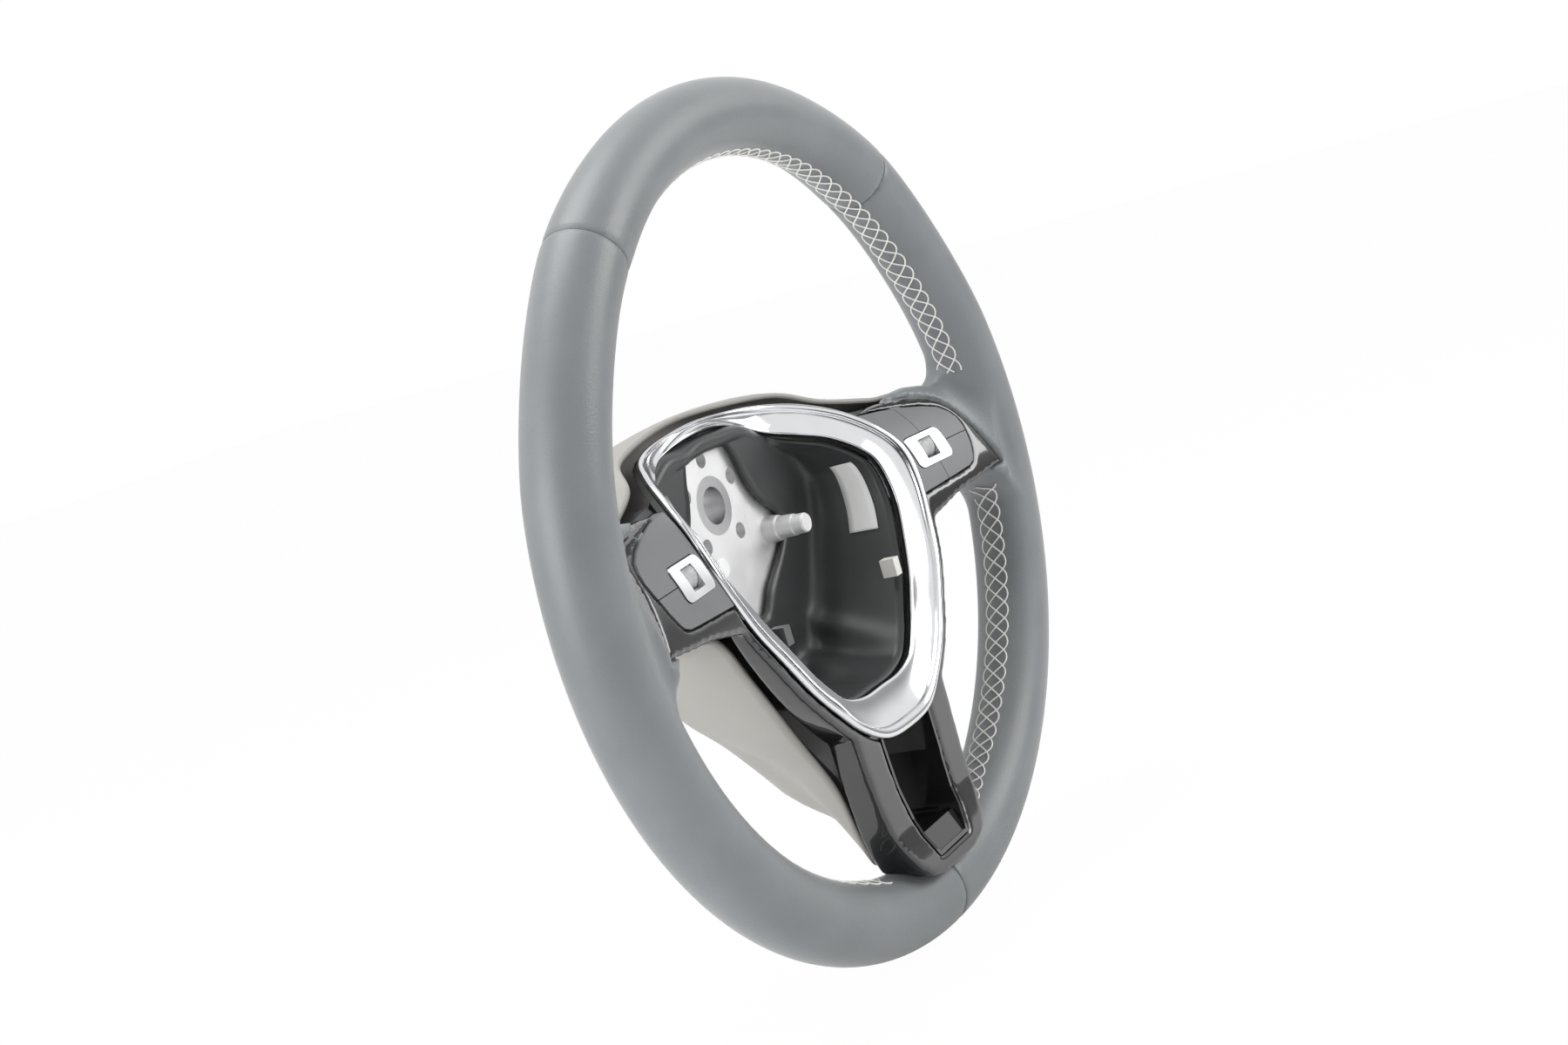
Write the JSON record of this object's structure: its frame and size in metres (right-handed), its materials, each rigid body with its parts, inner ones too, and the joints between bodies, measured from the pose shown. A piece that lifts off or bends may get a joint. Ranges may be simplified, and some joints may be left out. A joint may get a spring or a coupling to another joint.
{
  "type": "car steering wheel",
  "caption": "Leather-covered three-spoke car steering wheel with a bright ring round an open hub, glossy spokes with switch buttons, rollers and a recessed lower spoke.",
  "frame": {"origin": "on the axis of the steering-shaft bore, 2 mm behind the front face of the hub", "axes": "+Y forward along the column, away from the driver; +X to the driver's right; +Z to the top of the wheel"},
  "size_m": [0.37, 0.0932, 0.37],
  "materials": {
    "leather": "satin grain",
    "cast_metal": "cast, satin",
    "steel": "satin",
    "foam": "matte",
    "bright_trim": "bright",
    "dark_plastic": "fine grain",
    "gloss_trim": "high gloss",
    "satin_silver": "satin",
    "roller_grey": "satin",
    "switch_grey": "satin",
    "rubber_mat": "matte",
    "board": "satin",
    "thread": "twisted thread",
    "sticker": "matte",
    "pale_plastic": "matte"
  },
  "bodies": {
    "wheel": {"armature": "cast_metal", "rim_core": "steel", "column_insert": "steel", "rim_foam": "foam", "leather_top": "leather", "leather_left": "leather", "leather_right": "leather", "ring_trim": "bright_trim", "ring_carrier": "dark_plastic", "front_bezel": "gloss_trim", "pocket_insert": "dark_plastic", "inner_shroud": "dark_plastic", "rear_cover": "dark_plastic", "switch_housing_left": "dark_plastic", "switch_housing_right": "dark_plastic", "surround_left": "satin_silver", "surround_right": "satin_silver", "dome_mat_left": "rubber_mat", "dome_mat_right": "rubber_mat", "switch_board_left": "board", "switch_board_right": "board", "blank_label": "sticker", "side_clips": "pale_plastic", "cover_screws": "steel"},
    "carrier_left": {"roller_carrier_left": "dark_plastic", "roller_pin_left": "steel"},
    "roller_left": {"roller_left": "roller_grey"},
    "carrier_right": {"roller_carrier_right": "dark_plastic", "roller_pin_right": "steel"},
    "roller_right": {"roller_right": "roller_grey"},
    "button_left_upper": {"button_left_upper": "switch_grey"},
    "button_left_lower": {"button_left_lower": "switch_grey"},
    "button_right_upper_inner": {"button_right_upper_inner": "switch_grey"},
    "button_right_upper_outer": {"button_right_upper_outer": "switch_grey"},
    "button_right_lower_inner": {"button_right_lower_inner": "switch_grey"},
    "button_right_lower_outer": {"button_right_lower_outer": "switch_grey"}
  },
  "joints": [
    {"name": "roller_press_left", "type": "slide", "parent": "wheel", "child": "carrier_left", "axis": [0, 1, 0], "range_m": [0, 0.0008], "stiffness_N_per_m": 2000, "springref_m": -0.001},
    {"name": "roller_turn_left", "type": "hinge", "parent": "carrier_left", "child": "roller_left", "pos_m": [-0.10579, -0.04766, -0.0098], "axis": [0.989, 0.1478, 0], "continuous": true},
    {"name": "roller_press_right", "type": "slide", "parent": "wheel", "child": "carrier_right", "axis": [0, 1, 0], "range_m": [0, 0.0008], "stiffness_N_per_m": 2000, "springref_m": -0.001},
    {"name": "roller_turn_right", "type": "hinge", "parent": "carrier_right", "child": "roller_right", "pos_m": [0.10579, -0.04766, -0.0098], "axis": [0.989, -0.1478, 0], "continuous": true},
    {"name": "button_left_upper_press", "type": "slide", "parent": "wheel", "child": "button_left_upper", "axis": [0, 1, 0], "range_m": [0, 0.0008], "stiffness_N_per_m": 2000, "springref_m": -0.001},
    {"name": "button_left_lower_press", "type": "slide", "parent": "wheel", "child": "button_left_lower", "axis": [0, 1, 0], "range_m": [0, 0.0008], "stiffness_N_per_m": 2000, "springref_m": -0.001},
    {"name": "button_right_upper_inner_press", "type": "slide", "parent": "wheel", "child": "button_right_upper_inner", "axis": [0, 1, 0], "range_m": [0, 0.0008], "stiffness_N_per_m": 2000, "springref_m": -0.001},
    {"name": "button_right_upper_outer_press", "type": "slide", "parent": "wheel", "child": "button_right_upper_outer", "axis": [0, 1, 0], "range_m": [0, 0.0008], "stiffness_N_per_m": 2000, "springref_m": -0.001},
    {"name": "button_right_lower_inner_press", "type": "slide", "parent": "wheel", "child": "button_right_lower_inner", "axis": [0, 1, 0], "range_m": [0, 0.0008], "stiffness_N_per_m": 2000, "springref_m": -0.001},
    {"name": "button_right_lower_outer_press", "type": "slide", "parent": "wheel", "child": "button_right_lower_outer", "axis": [0, 1, 0], "range_m": [0, 0.0008], "stiffness_N_per_m": 2000, "springref_m": -0.001}
  ]
}
